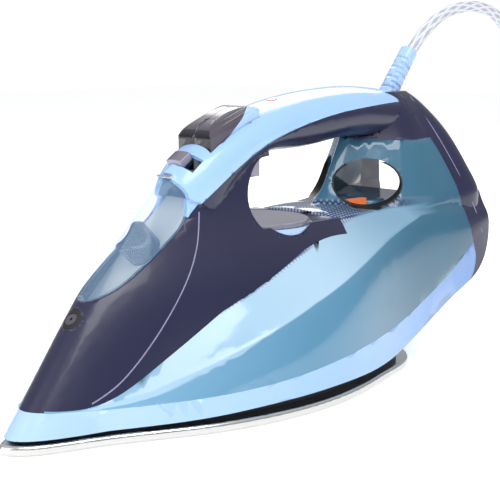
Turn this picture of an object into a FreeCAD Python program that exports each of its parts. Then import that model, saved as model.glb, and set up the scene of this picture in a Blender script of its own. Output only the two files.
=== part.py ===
import FreeCAD, Part
import math
import os

# Steam iron. Millimetres, nose towards -X, heel towards +X, +Z up.
# The origin is on the standing plane, under the middle of the iron's length and width.

V = FreeCAD.Vector

# ---------------------------------------------------------------- driving dimensions
HALF_LENGTH = 165.0        # nose and heel both reach this far from the origin
WALL = 2.4                 # moulded wall of the housings
SOLE_T = 5.0               # thickness of the soleplate with its rolled rim
SOLE_REAR = 96.0           # the soleplate ends here, the heel overhangs it
DIAL_X = 1.0               # centre of the temperature dial
DIAL_R = 30.6
DIAL_TOP = 89.0
DIAL_FLOOR = 79.5          # floor of the recess under the dial
GAP = 0.4                  # running gap round covers and caps
HOLE_RY, HOLE_RZ = 20.5, 13.8      # half axes of the oval hole in each side of the rear pillar
CORD_D = 7.0

# Half plan outline of the soleplate: distance along the iron, half width.
SOLE_OUTLINE = [(-160.0, 7.2), (-148.0, 14.8), (-128.0, 23.2), (-104.0, 35.6), (-79.0, 48.5),
                (-50.0, 58.4), (-15.0, 63.6), (20.0, 61.4), (50.0, 55.0), (74.0, 49.0)]

# Cross sections of the body: x, half width at the base, then half width and height of the
# skirt's top edge, of the tank's sharp edge and of the deck's shoulder, then the deck's height.
STATIONS = [
    (-148.0, 11.6, (10.8, 17.9), (9.6, 18.6), (5.0, 20.4), 21.4),
    (-128.0, 22.6, (21.4, 17.4), (20.6, 18.4), (12.0, 29.0), 32.0),
    (-104.0, 36.0, (34.4, 17.0), (31.0, 22.6), (19.0, 38.0), 41.0),
    (-78.0, 49.2, (47.4, 18.0), (42.0, 31.0), (28.0, 45.5), 49.0),
    (-50.0, 58.6, (56.9, 19.2), (51.0, 40.8), (35.0, 56.0), 60.0),
    (-15.0, 64.6, (62.8, 22.4), (56.0, 53.2), (37.0, 69.5), 75.0),
    (25.0, 61.2, (59.2, 24.8), (53.0, 65.0), (31.0, 84.6), 88.5),
    (60.0, 53.8, (52.0, 27.6), (46.0, 75.0), (28.0, 88.4), 91.0),
    (95.0, 49.0, (47.0, 36.0), (42.6, 84.0), (33.0, 90.0), 91.2),
    (130.0, 47.4, (46.0, 52.0), (42.8, 84.4), (37.5, 91.6), 93.0),
    (154.0, 46.4, (45.4, 68.0), (43.4, 81.0), (40.0, 92.0), 93.0),
    (172.0, 44.0, (43.4, 70.0), (42.0, 81.0), (38.6, 92.0), 93.0),
]

# Nose and front pillar: height, front of the nose at that height, fullness of the plan parabola.
NOSE = [(5.0, -163.4, 4.0), (14.0, -156.4, 4.05), (32.0, -142.6, 4.1), (50.0, -129.0, 4.15),
        (66.0, -116.4, 4.0), (80.0, -104.4, 3.5), (94.0, -91.4, 2.7), (107.0, -78.2, 2.3),
        (118.0, -64.8, 2.2), (128.0, -50.0, 2.1)]
NOSE_BACK = 34.6

# Handle: top point, underside point and half width of each cross section along the grip.
HANDLE = [((-67.0, 109.0), (-30.0, 92.0), 15.0), ((-48.5, 128.6), (-19.0, 113.0), 17.2),
          ((-26.5, 139.6), (-7.0, 121.6), 18.0), ((-4.0, 147.4), (5.0, 124.2), 18.2),
          ((24.0, 153.2), (24.0, 124.4), 18.2), ((50.0, 155.7), (46.0, 126.0), 18.8),
          ((78.0, 156.4), (72.0, 128.0), 20.0), ((106.0, 154.0), (100.0, 127.0), 20.4)]

# Rear pillar and heel: height, front apex, half width at its shoulder, rear end, half width there.
PILLAR = [(82.0, 46.0, 40.0, 168.0, 41.0), (92.0, 50.0, 39.6, 166.0, 41.4),
          (98.0, 57.0, 38.0, 163.0, 40.4), (106.0, 62.5, 35.4, 158.0, 38.0),
          (120.0, 70.0, 30.0, 150.0, 32.8), (134.0, 76.5, 24.6, 141.0, 25.8),
          (145.0, 82.0, 20.0, 131.0, 19.0), (152.6, 88.0, 14.0, 122.0, 12.6)]

# Side view curves that part the housings from each other: (x, z).
SKIRT_TOP = [(-175.0, 19.4), (-148.0, 18.0), (-120.0, 17.0), (-92.0, 17.3), (-50.0, 19.2),
             (-12.0, 22.6), (27.0, 24.9), (66.0, 28.4), (100.0, 38.0), (128.0, 51.0),
             (146.0, 62.5), (175.0, 84.0)]
UNDERSIDE = [(-175.0, 6.6), (-135.0, 7.2), (-100.0, 7.6), (-57.0, 9.4), (0.0, 10.8),
             (58.0, 11.4), (86.0, 18.0), (110.0, 27.0), (134.0, 36.4), (150.0, 43.0),
             (161.0, 53.5), (165.0, 66.0), (163.0, 82.0), (156.5, 98.0), (147.0, 116.0),
             (136.5, 133.0), (126.0, 147.0), (117.0, 158.0)]
HEEL_SEAM = [(104.5, 162.0), (107.0, 154.0), (113.0, 141.5), (121.5, 126.0), (136.0, 90.0),
             (146.0, 62.0), (149.0, 50.0), (145.0, 42.0), (132.0, 34.0), (124.0, 28.0)]
COVER_EDGE = [(-62.0, 97.0), (-43.0, 111.0), (-26.0, 121.6), (-7.0, 130.4), (13.0, 136.4),
              (48.0, 143.0), (90.0, 146.6), (125.0, 148.0)]
DOOR_EDGE = [(-119.5, 62.4), (-110.0, 66.0), (-92.0, 76.5), (-73.0, 88.5), (-62.0, 97.6),
             (-59.6, 105.6), (-62.6, 113.6), (-70.0, 119.4)]


# ---------------------------------------------------------------- shape helpers
def curve(points):
    """Smooth open edge through 3-D points."""
    spline = Part.BSplineCurve()
    spline.interpolate(Points=points)
    return spline.toShape()


def closed_curve(points):
    spline = Part.BSplineCurve()
    spline.interpolate(Points=points, PeriodicFlag=True)
    return Part.Wire(spline.toShape())


def prism_xz(edges_or_points, depth=200.0):
    """Solid with a side-view outline, depth wide and centred on y = 0."""
    wire = edges_or_points
    if not isinstance(wire, Part.Wire):
        wire = Part.makePolygon([V(x, 0, z) for x, z in wire + wire[:1]])
    wire.translate(V(0, -depth / 2, 0))
    return Part.Face(wire).extrude(V(0, depth, 0))


def zone(side_curve, corners, offset=0.0):
    """Side-view zone bounded by a smooth curve, shifted up by offset, and straight corners."""
    points = [V(x, 0, z + offset) for x, z in side_curve]
    edges = [curve(points)]
    loop = [points[-1]] + [V(x, 0, z) for x, z in corners] + [points[0]]
    edges += [Part.makeLine(a, b) for a, b in zip(loop, loop[1:])]
    return prism_xz(Part.Wire(edges))


def box(x0, x1, y0, y1, z0, z1):
    return Part.makeBox(x1 - x0, y1 - y0, z1 - z0, V(x0, y0, z0))


def rod(radius, start, end):
    direction = end - start
    return Part.makeCylinder(radius, direction.Length, start, direction)


def pipe(outer, inner, start, end):
    return rod(outer, start, end).cut(rod(inner, start, end))


def mirror_y(shape):
    return shape.mirror(V(0, 0, 0), V(0, 1, 0))


def tube_along(points, radius):
    """Round bar along straight runs joined by tangent arcs; returns its solid and radii."""
    edges, radii = [], []
    here = points[0]
    for before, corner, after in zip(points, points[1:], points[2:]):
        run_in, run_out = corner - before, after - corner
        turn = run_in.getAngle(run_out)
        bend = 0.45 * min(run_in.Length, run_out.Length)
        radii.append(bend / math.tan(turn / 2))
        u, w = V(run_in).normalize(), V(run_out).normalize()
        start, end = corner - u * bend, corner + w * bend
        inward = (w - u).normalize()
        middle = corner + inward * (radii[-1] * (1 / math.cos(turn / 2) - 1))
        edges += [Part.makeLine(here, start), Part.Arc(start, middle, end).toShape()]
        here = end
    edges.append(Part.makeLine(here, points[-1]))
    path = Part.Wire(edges)
    profile = Part.Wire(Part.makeCircle(radius, points[0], points[1] - points[0]))
    return path.makePipeShell([profile], True, False), radii, path.Length


# ---------------------------------------------------------------- outer forms
def station_wire(station, inset):
    x, base, skirt, edge, shoulder, top = station
    half = [(base - inset, 4.0), (skirt[0] - inset, skirt[1]), (edge[0] - inset, edge[1]),
            (shoulder[0] - 0.7 * inset, shoulder[1] - inset)]
    bulge = [0.0, 1.3, -0.6]
    side = [V(x, -y, z) for y, z in half]
    edges = []
    for (a, b), out in zip(zip(side, side[1:]), bulge):
        along = b - a
        bulge_out = math.copysign(min(abs(out), 0.05 * along.Length), out)
        along.normalize()
        middle = (a + b) * 0.5 + V(0, -along.z, along.y) * bulge_out
        edges.append(Part.Arc(a, middle, b).toShape() if out else Part.makeLine(a, b))
    crown = Part.Arc(side[-1], V(x, 0, top - inset), V(x, -side[-1].y, side[-1].z)).toShape()
    far = [mirror_y(e) for e in reversed(edges)]
    base_line = Part.makeLine(V(x, -side[0].y, side[0].z), side[0])
    return Part.Wire(Part.__sortEdges__(edges + [crown] + far + [base_line]))


def body_form(inset):
    """Skirt, tank and deck, from behind the nose to the heel."""
    rows = [s for s in STATIONS if s[2][0] > 6 * inset]
    if inset:
        rows[-1] = (rows[-1][0] - inset,) + rows[-1][1:]
    return Part.makeLoft([station_wire(s, inset) for s in rows], True, False)


def nose_form(inset):
    """Nose, front housing and front pillar, as level sections that are parabolas."""
    wires = []
    for z, front, full in NOSE:
        reach = NOSE_BACK - front
        half = []
        for share in (0.0, 0.006, 0.024, 0.06, 0.14, 0.30, 0.58, 1.0):
            d = share * reach
            y = full * math.sqrt(d) * (1 - (d / 400.0) ** 2)
            slope = full * full / 2 / max(y, 0.01)
            n = math.hypot(1.0, slope)
            half.append((front + d + inset * slope / n, max(y - inset / n, 0.0)) if d
                        else (front + inset, 0.0))
        half[-1] = (NOSE_BACK - inset, half[-1][1])
        level = z - (inset if z == NOSE[-1][0] else 0)
        points = [V(x, -y, level) for x, y in reversed(half)] + [V(x, y, level) for x, y in half[1:]]
        wires.append(Part.Wire([curve(points), Part.makeLine(points[-1], points[0])]))
    return Part.makeLoft(wires, True, False)


def handle_form(inset):
    """The grip, as rounded sections square to its length."""
    wires = []
    for (tx, tz), (ux, uz), half_width in HANDLE:
        chord = V(ux - tx, 0, uz - tz)
        length = chord.Length
        chord.normalize()
        shape = [(0.0, 0.0), (0.045, 0.46), (0.17, 0.80), (0.42, 1.0), (0.70, 0.97), (0.92, 0.62), (1.0, 0.0)]
        half = [(inset + f * (length - 2 * inset), w * (half_width - inset)) for f, w in shape]
        loop = [(a, -b) for a, b in half] + [(a, b) for a, b in reversed(half[1:-1])]
        wires.append(closed_curve([V(tx, 0, tz) + chord * a + V(0, b, 0) for a, b in loop]))
    return Part.makeLoft(wires, True, False)


def pillar_form(inset):
    """The rear pillar above the tank: level sections with an apex in front and a wide heel."""
    wires = []
    for z, apex, shoulder, rear, heel in PILLAR:
        s, h = shoulder - inset, heel - inset
        front, back = apex + 1.5 * inset, rear - inset
        deep = back - front
        half = [(front, 0.0), (front + 0.024 * deep, 0.085 * s), (front + 0.10 * deep, 0.27 * s),
                (front + 0.22 * deep, 0.58 * s), (front + 0.36 * deep, 0.89 * s),
                (front + 0.48 * deep, s), (front + 0.72 * deep, 0.5 * (s + h) + 0.6),
                (back - 0.085 * deep, h), (back - 0.016 * deep, 0.80 * h), (back, 0.0)]
        level = z - (inset if z == PILLAR[-1][0] else 0)
        loop = [(a, -b) for a, b in half] + [(a, b) for a, b in reversed(half[1:-1])]
        wires.append(closed_curve([V(a, b, level) for a, b in loop]))
    return Part.makeLoft(wires, True, False)


# ---------------------------------------------------------------- zones that part the housings
def shifted(points, dx=0.0, dz=0.0):
    return [(x + dx, z + dz) for x, z in points]


def hand_gap(inset):
    """Space behind the front pillar where the fingers go, as cut from the nose form."""
    pillar = [(-20.5, 80.0), (-23.5, 94.0), (-23.0, 106.0), (-18.0, 116.4), (-9.0, 122.8)]
    outline = [V(x - inset, 0, z) for x, z in pillar]
    floor = 88.0 - inset
    outline[0].z = floor
    edges = [curve(outline)]
    loop = [outline[-1], V(-4 - inset, 0, 123.4), V(-4 - inset, 0, 170), V(90, 0, 170),
            V(90, 0, floor), outline[0]]
    edges += [Part.makeLine(a, b) for a, b in zip(loop, loop[1:])]
    return prism_xz(Part.Wire(edges))


def dial_recess(extra):
    return Part.makeCylinder(DIAL_R + 0.5 + extra, 10.6 + extra, V(DIAL_X, 0, DIAL_FLOOR - extra))


def cavity(inset):
    """Open space inside the rear pillar, open to the back; a positive inset makes it larger."""
    wires = []
    for z, apex, half_width in ((60.0, 60.0, 31.5), (93.0, 64.0, 29.5), (126.0, 80.0, 21.5)):
        half = [(apex - inset, 0.0), (apex + 31.0 - inset, -half_width + 2 - inset),
                (apex + 46.0, -half_width - inset), (190.0, -half_width - 9.0 - inset)]
        far = [(a, -b) for a, b in reversed(half[1:])]
        points = [V(a, b, z) for a, b in half + far]
        wires.append(Part.makePolygon(points + points[:1]))
    wedge = Part.makeLoft(wires, True, True)
    side = [(50 - inset, 90.4 - inset), (95, 90.8 - inset), (121, 93 - inset),
            (146, 82 - inset), (190, 62 - inset),
            (190, 112 + inset), (146, 118 + inset), (110, 123.4 + inset), (50 - inset, 124 + inset)]
    return wedge.common(prism_xz(side))


def pillar_hole(extra, reach=15.0, after=15.0):
    """Oval hole through the near side of the pillar, square to the pillar's slanted face."""
    middle = V(78.0, -16.0, 101.8)
    along = V(0.736, -0.677, 0).normalize()
    through = V(-along.y, along.x, 0)
    start = middle - through * reach
    oval = Part.Ellipse(start + along * (HOLE_RY + extra), start + V(0, 0, HOLE_RZ + extra), start)
    near = Part.Face(Part.Wire(oval.toShape())).extrude(through * (reach + after))
    return near


def solids_over(shape, least=60.0):
    """The real pieces of a cut, without slivers."""
    kept = [s for s in shape.Solids if s.Volume > least]
    return kept[0] if len(kept) == 1 else Part.makeCompound(kept)


def housings():
    nose, nose_in, nose_out = nose_form(0), nose_form(WALL), nose_form(-WALL)
    grip, grip_in, grip_out = handle_form(0), handle_form(WALL), handle_form(-WALL)
    body, body_in = body_form(0), body_form(WALL)
    tower, tower_in = pillar_form(0), pillar_form(WALL)
    skirt_zone = zone(SKIRT_TOP, [(175, -20), (-175, -20)])
    floor_zone = zone(shifted(SKIRT_TOP, 0, WALL), [(175, -20), (-175, -20)])
    under = zone(UNDERSIDE, [(220, 158), (220, -20), (-175, -20)])
    under_heel = zone(shifted(UNDERSIDE, -WALL, WALL), [(220, 160.4), (220, -20), (-180, -20)])
    under_heel = under_heel.common(box(84, 220, -90, 90, -30, 200))
    heel_zone = zone(HEEL_SEAM, [(220, 28), (220, 162)])
    heel_front = zone(shifted(HEEL_SEAM, -WALL), [(220, 28), (220, 162)])
    cover_zone = zone(COVER_EDGE, [(125, 200), (-90, 200), (-90, 150), (-70, 119.4), (-62, 108)])
    door_zone = zone(DOOR_EDGE, [(-100, 160), (-170, 110)])
    rear_line = [(40, 131), (70, 127.6), (95, 125.6), (118, 126.0), (140, 127.0)]
    rear_zone = zone(rear_line, [(140, 200), (40, 200)])
    rear_under = zone(shifted(rear_line, 0, -WALL), [(140, 200), (40, 200)])
    before_back = box(-60, NOSE_BACK, -80, 80, 88.0, 200)

    front = nose.cut(hand_gap(0)).fuse(grip)
    front_in = nose_in.cut(hand_gap(WALL)).cut(dial_recess(WALL)).fuse(grip_in)
    front_shell = front.cut(front_in).cut(dial_recess(0)).cut(heel_zone)
    front_shell = front_shell.cut(nose_openings())
    nodes = {}
    hinge_room = rod(1.9, HINGE - V(0, 4, 0), HINGE + V(0, 4, 0))
    pin = nose_parts()["door_hinge_pin"]
    nodes["front_housing"] = front_shell.cut(skirt_zone).cut(cover_zone).cut([door_zone, hinge_room, pin])
    nodes["handle_cover"] = front_shell.common(cover_zone).cut([door_zone, hinge_room, pin])
    inner_zone = zone(DOOR_EDGE, [(-100, 160), (-170, 110)])
    inner_zone.translate(V(-GAP, 0, 0.6 * GAP))
    door = front_shell.common(inner_zone).cut(hinge_room)
    knuckle = pipe(1.5, 0.86, HINGE - V(0, 3.2, 0), HINGE + V(0, 3.2, 0))
    tab = box(-1.6, 0, -3.2, 3.2, -1.2, 1.2)
    tab.rotate(V(0, 0, 0), V(0, 1, 0), -45.6)
    tab.translate(HINGE - SLOPE * 0.9)
    nodes["filling_door"] = door.fuse(tab.cut(rod(0.86, HINGE - V(0, 9, 0), HINGE + V(0, 9, 0)))).fuse(knuckle)

    holes = pillar_hole(0)
    holes = holes.fuse(mirror_y(holes))
    holes_wide = pillar_hole(WALL)
    holes_wide = holes_wide.fuse(mirror_y(holes_wide))
    rear = body.cut(before_back).fuse(tower).cut(cavity(0)).cut(holes)
    rear_in = body_in.fuse(tower_in).cut(cavity(WALL)).cut(holes_wide)
    whole = rear.fuse(nose.cut(hand_gap(0)))
    whole_in = body_in.fuse(nose_in).cut(under_heel)
    nodes["skirt"] = whole.common(skirt_zone).cut(whole_in).cut(under).cut(heel_zone)
    vessel = rear.cut(nose.cut(hand_gap(0))).cut(grip)
    vessel_in = rear_in.cut(nose_out).cut(grip_out).cut(box(-60, NOSE_BACK + WALL, -80, 80, 85.6, 200))
    tank_in = vessel_in.cut(heel_front).cut(rear_under)
    nodes["tank_shell"] = vessel.cut(tank_in).cut(skirt_zone).cut(heel_zone).cut(rear_zone)
    nodes["tank_floor"] = tank_in.common(floor_zone).cut(skirt_zone)
    nodes["rear_housing"] = vessel.common(rear_zone).cut(heel_zone).cut(vessel_in)
    heel = rear.common(heel_zone).cut(under)
    nodes["heel_cover"] = heel.cut(rear_in.cut(under_heel))
    outlet = rod(6.5, BALL, along_axis(30)).fuse(Part.makeSphere(7.5, BALL))
    for name in ("rear_housing", "heel_cover"):
        nodes[name] = nodes[name].cut(outlet)
    deck_lamp = lamps()["lamp_deck"]
    nodes["tank_shell"] = nodes["tank_shell"].cut(deck_lamp)
    rings = pillar_hole(0, 15, 3).cut(pillar_hole(-1.1, 16, 5))
    rings = rings.fuse(mirror_y(rings)).common(tower.fuse(body)).cut(cavity(0))
    nodes["pillar_hole_trims"] = rings.cut(deck_lamp)
    return nodes


def sole_wire(inset, z, rear_extra=0.0):
    """Closed soleplate outline; the nose is a small arc and the rear corners are rounded."""
    side = [V(x, -(w - inset), z) for x, w in SOLE_OUTLINE if w > inset + 3]
    corner = [V(SOLE_REAR - 10 - inset, -(41.5 - inset), z), V(SOLE_REAR - 1.5 - inset, -(30 - inset), z)]
    rear = [V(SOLE_REAR - inset, 0, z)]
    nose = [V(-HALF_LENGTH + 1.25 * inset, 0, z)]
    near = nose + side + corner + rear
    far = [V(p.x, -p.y, z) for p in reversed(side + corner)]
    return closed_curve(near + far)


# ---------------------------------------------------------------- sole and heating
ELEMENT_Z = 13.2
ELEMENT_R = 3.2
POCKET_HALF = 15.0         # half width of the steam chamber
POCKET_REAR = 58.0
POCKET_FRONT = -34.0


def stadium(x0, x1, half, z0, z1):
    """Flat solid with straight sides and round ends."""
    slab = box(x0, x1, -half, half, z0, z1)
    ends = [Part.makeCylinder(half, z1 - z0, V(x, 0, z0)) for x in (x0, x1)]
    return slab.fuse(ends).removeSplitter()


def element_path(z):
    """U of the heating element, round the nose and open to the rear."""
    half, front, rear = 22.0, -42.0, 80.0
    arc = Part.Arc(V(front, -half, z), V(front - half, 0, z), V(front, half, z)).toShape()
    runs = [Part.makeLine(V(rear, -half, z), V(front, -half, z)), arc,
            Part.makeLine(V(front, half, z), V(rear, half, z))]
    return Part.Wire(runs)


def swept_u(radius, z):
    profile = Part.Wire(Part.makeCircle(radius, V(80, -22, z), V(1, 0, 0)))
    return element_path(z).makePipeShell([profile], True, False)


def sole_and_heating():
    plate = Part.Face(sole_wire(0, 0)).extrude(V(0, 0, SOLE_T))
    plate = plate.makeFillet(2.0, plate.Edges)
    vents = []
    for inset in (9.0, 17.0):
        outline = [(x, w - inset) for x, w in SOLE_OUTLINE if w > inset + 4]
        vents += [(x, side * w) for x, w in outline for side in (-1, 1)]
    vents += [(x, 0.0) for x in (-140.0, -128.0, -116.0)]
    for x, y in vents:
        plate = plate.cut(Part.makeCylinder(1.3, 20, V(x, y, -5)))
    seal = Part.Face(sole_wire(7.5, SOLE_T)).cut(Part.Face(sole_wire(11.0, SOLE_T)))
    nodes = {"soleplate": plate, "sole_seal": seal.extrude(V(0, 0, 7.0))}
    base = Part.Face(sole_wire(11.0, SOLE_T)).extrude(V(0, 0, 8.0))
    base = base.cut(stadium(POCKET_FRONT, POCKET_REAR, POCKET_HALF, 9.0, 14.0))
    base = base.cut(swept_u(ELEMENT_R, ELEMENT_Z))
    lid = stadium(POCKET_FRONT, POCKET_REAR, POCKET_HALF + 3.0, 13.0, 14.4)
    lid = lid.cut(swept_u(ELEMENT_R, ELEMENT_Z))
    lid = lid.cut(Part.makeCylinder(1.25, 6, V(-42, 0, 11)))
    lid = lid.cut(Part.makeCylinder(1.2, 6, V(-20, 8, 11)))
    screws = []
    for x in (POCKET_FRONT + 6, POCKET_REAR - 6):
        for side in (-1, 1):
            y = side * (POCKET_HALF + 1.0)
            shank = Part.makeCylinder(1.2, 8.4, V(x, y, 6.0))
            head = Part.makeCylinder(2.0, 1.4, V(x, y, 14.4))
            screws.append(shank.fuse(head))
            base, lid = base.cut(shank), lid.cut(shank)
    nodes["heating_base"] = base
    nodes["steam_chamber_lid"] = lid
    nodes["lid_screws"] = Part.makeCompound(screws)
    element = swept_u(ELEMENT_R, ELEMENT_Z)
    for side in (-1, 1):
        element = element.fuse(rod(1.4, V(77, side * 22, ELEMENT_Z), V(77, side * 22, 23.0)))
    nodes["heating_element"] = element
    body = box(-11, 11, -7, 7, 14.4, 16.4).fuse(Part.makeCylinder(7.0, 9.6, V(DIAL_X, 0, 16.4)))
    nodes["thermostat"] = body.cut(Part.makeCylinder(2.4, 20, V(DIAL_X, 0, 20.0)))
    nodes["thermal_fuse"] = rod(2.0, V(22, 0, 16.4), V(38, 0, 16.4))
    return nodes


# ---------------------------------------------------------------- dial and its spindle
def dial_parts():
    c = V(DIAL_X, 0, 0)

    def disc(radius, z0, z1):
        return Part.makeCylinder(radius, z1 - z0, c + V(0, 0, z0))

    top = disc(DIAL_R - 1.4, 85.4, DIAL_TOP)
    top = top.makeFillet(1.2, [e for e in top.Edges if abs(e.BoundBox.ZMin - DIAL_TOP) < 0.01
                               and abs(e.BoundBox.ZMax - DIAL_TOP) < 0.01])
    seal = disc(DIAL_R - 2.2, 84.8, 85.4)
    rim = disc(DIAL_R, 81.4, 84.8)
    rim = rim.fuse(disc(DIAL_R, 84.8, 86.6).cut(disc(DIAL_R - 1.4, 84.0, 88.0)))
    grip = disc(DIAL_R, 80.0, 82.0).cut(disc(DIAL_R - 4.0, 79.0, 83.0))
    wedge = Part.makePolygon([c + V(0, 0, 79), c + V(60, -52, 79), c + V(60, 8, 79), c + V(0, 0, 79)])
    rim = rim.fuse(grip.common(Part.Face(wedge).extrude(V(0, 0, 5)))).removeSplitter()
    rim = rim.cut(disc(2.0, 70, 90))
    spindle = disc(2.0, 21.0, 84.8).fuse(disc(5.0, 80.2, 81.4))
    return {"dial_disc": top, "dial_seal": seal.cut(disc(2.0, 70, 84.8)), "dial_ring": rim,
            "dial_spindle": spindle}


# ---------------------------------------------------------------- buttons, pumps, trigger
PUMP_X = -35.0
PUMP_Y = 6.9
BUTTON_TRAVEL = 3.0
BUTTON_TOP = [(-44.0, 132.6), (-43.0, 137.6), (-36.0, 142.4), (-28.0, 145.9), (-20.0, 148.0),
              (-12.0, 148.8), (-8.6, 147.8)]
BUTTON_HALF = 11.5


def button_block(side, grow=0.0):
    """One thumb cap: side view under a rising curve, rounded outwards like the handle."""
    top = [V(x, 0, z + grow) for x, z in BUTTON_TOP]
    top[0].x -= grow
    top[-1].x += grow
    loop = [top[-1], V(top[-1].x, 0, 141.6), V(top[0].x, 0, 125.6), top[0]]
    edges = [curve(top)] + [Part.makeLine(a, b) for a, b in zip(loop, loop[1:])]
    block = prism_xz(Part.Wire(edges), 2 * BUTTON_HALF + 2 * grow)
    barrel = rod(13.6 + grow, V(-90, 0, 110.6), V(30, 0, 153.8))
    block = block.common(barrel)
    gap = 0.18 - grow
    return block.common(box(-80, 20, gap, 40, 100, 170) if side > 0 else box(-80, 20, -40, -gap, 100, 170))


def helix_spring(radius, wire, turns, foot, height):
    """Round-wire coil standing on foot."""
    line = Part.makeHelix((height - 2 * wire) / turns, height - 2 * wire, radius)
    start = V(radius, 0, 0)
    profile = Part.Wire(Part.makeCircle(wire, start, V(0, 1, 0.1)))
    coil = Part.Wire(line.Edges).makePipeShell([profile], True, True)
    coil.translate(foot + V(0, 0, wire))
    return coil


def pumps_and_buttons():
    nodes = {}
    for side, name in ((-1, "spray"), (1, "boost")):
        y = side * PUMP_Y
        at = V(PUMP_X, y, 0)
        nodes[name + "_button"] = button_block(side)
        barrel = Part.makeCylinder(5.2, 26.0, at + V(0, 0, 91.0))
        barrel = barrel.cut(Part.makeCylinder(4.0, 30.0, at + V(0, 0, 93.0)))
        nozzle = Part.makeCylinder(1.6, 7.0, at + V(0, 0, 84.0))
        nodes[name + "_pump"] = barrel.fuse(nozzle)
        piston = Part.makeCylinder(3.94, 4.0, at + V(0, 0, 106.0))
        stem = Part.makeCylinder(2.0, 34.0, at + V(0, 0, 108.0))
        nodes[name + "_piston"] = piston.fuse(stem).cut(button_block(side)).Solids[0]
        nodes[name + "_spring"] = helix_spring(2.9, 0.45, 6, at + V(0, 0, 93.0), 13.0)
    return nodes


def trigger_parts():
    """Steam trigger under the front of the grip; it slides up into the grip."""
    blade = box(-12.0, -1.5, -6.5, 6.5, 112.0, 128.0)
    blade = blade.cut(box(-20, -9.5, -8, 8, 100, 113.5))
    edges = [e for e in blade.Edges if e.BoundBox.XMin > -1.6 and e.BoundBox.ZLength > 10]
    blade = blade.makeFillet(2.0, edges)
    stop = box(-14.4, 0.9, -8.0, 8.0, 128.0, 130.0)
    spring = helix_spring(3.0, 0.45, 4, V(-4.9, 0, 130.0), 9.0)
    seat = box(-8.3, -1.0, -5.0, 5.0, 139.0, 140.4)
    return {"steam_trigger": blade.fuse(stop), "trigger_spring": spring, "trigger_seat": seat}


# ---------------------------------------------------------------- steam slider and valve
SLIDER_TOP = V(-55.0, 0, 124.9)
SLIDER_AXIS = V(0.84, 0, 0.5426)
SLIDER_RADIUS = 18.4
VALVE_X = -42.0


def slider_segment(inner, outer, length, half_angle, middle_angle=0.0):
    """Part of a ring round the handle's front, half_angle each side of middle_angle."""
    up = V(-SLIDER_AXIS.z, 0, SLIDER_AXIS.x)
    centre = SLIDER_TOP - up * SLIDER_RADIUS - SLIDER_AXIS * (length / 2)
    ring = Part.makeCylinder(outer, length, centre, SLIDER_AXIS)
    ring = ring.cut(Part.makeCylinder(inner, length, centre, SLIDER_AXIS))
    points = [centre]
    for share in (-1, 0, 1):
        angle = math.radians(middle_angle + share * half_angle)
        points.append(centre + up * (60 * math.cos(angle)) + V(0, 1, 0) * (60 * math.sin(angle)))
    wedge = Part.Face(Part.makePolygon(points + points[:1])).extrude(SLIDER_AXIS * length)
    return ring.common(wedge)


def slider_parts():
    knob = slider_segment(15.4, 20.0, 8.0, 15.0)
    needle = rod(1.2, V(VALVE_X, 0, 20.0), V(VALVE_X, 0, 104.0))
    needle = needle.fuse(rod(2.2, V(VALVE_X, 0, 104.0), V(VALVE_X, 0, 107.0)))
    valve = pipe(4.5, 1.25, V(VALVE_X, 0, 14.4), V(VALVE_X, 0, 30.0))
    return {"steam_slider": knob, "valve_needle": needle, "drip_valve": valve}


# ---------------------------------------------------------------- nose: door, inlet, spray
SLOPE = V(0.700, 0, 0.714)           # runs up the nose
OUT = V(-0.714, 0, 0.700)            # points out of the nose
HINGE = V(-64.7, 0, 116.5)           # door hinge, across the iron
NOZZLE = V(-123.4, 0, 54.6)          # just under the nose's surface
INLET = V(-91.4, 0, 94.0)            # on the nose's surface


def nose_parts():
    hollow = nose_form(WALL + 0.5)
    deep, thick = 13.2, 1.6
    a, b = NOZZLE + SLOPE * 12 - OUT * deep, NOZZLE + SLOPE * 84 - OUT * deep
    corners = [a, b, b - OUT * thick, a - OUT * thick]
    tray = prism_xz([(p.x, p.z) for p in corners], 90).common(nose_form(WALL))
    tray = tray.cut(rod(9.0, INLET - OUT * 30, INLET))
    cup = rod(9.0, INLET - OUT * 17, INLET - OUT * 6).cut(rod(7.6, INLET - OUT * 15.6, INLET))
    cup = cup.cut(rod(3.0, INLET - OUT * 30, INLET)).common(hollow)
    nozzle = pipe(3.2, 0.8, NOZZLE - OUT * 9, NOZZLE + OUT * 1.4)
    bezel = pipe(5.6, 3.2, NOZZLE - OUT * 7, NOZZLE + OUT * 3).common(nose_form(0))
    pin = rod(0.8, HINGE - V(0, 5, 0), HINGE + V(0, 5, 0))
    return {"fill_well": tray, "fill_inlet": cup, "spray_nozzle": nozzle, "nozzle_bezel": bezel,
            "door_hinge_pin": pin}


def nose_openings():
    """Everything cut out of the moulded nose, collar and grip."""
    cuts = [rod(5.6, NOZZLE - OUT * 7, NOZZLE + OUT * 8), rod(2.4, V(DIAL_X, 0, 60), V(DIAL_X, 0, 90))]
    for side in (-1, 1):
        block = button_block(side, GAP)
        cuts += [block, shifted_copy(block, V(0, 0, -3.6)), shifted_copy(block, V(0, 0, 3.0))]
    cuts.append(slider_segment(11.0, 26.0, 8.8, 39.0))
    cuts.append(box(-12.6, -0.9, -7.1, 7.1, 116.0, 127.0))
    cuts.append(rod(2.6, V(12, -1.5, 145), V(12, -1.5, 160)))
    return cuts


def shifted_copy(shape, move):
    copy = shape.copy()
    copy.translate(move)
    return copy


# ---------------------------------------------------------------- electrics in the grip and heel
AXIS = V(0.64, 0, 0.768).normalize()     # the cord leaves the heel along this
BALL = V(111.8, 0, 143.2)


def along_axis(distance):
    return BALL + AXIS * distance


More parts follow.
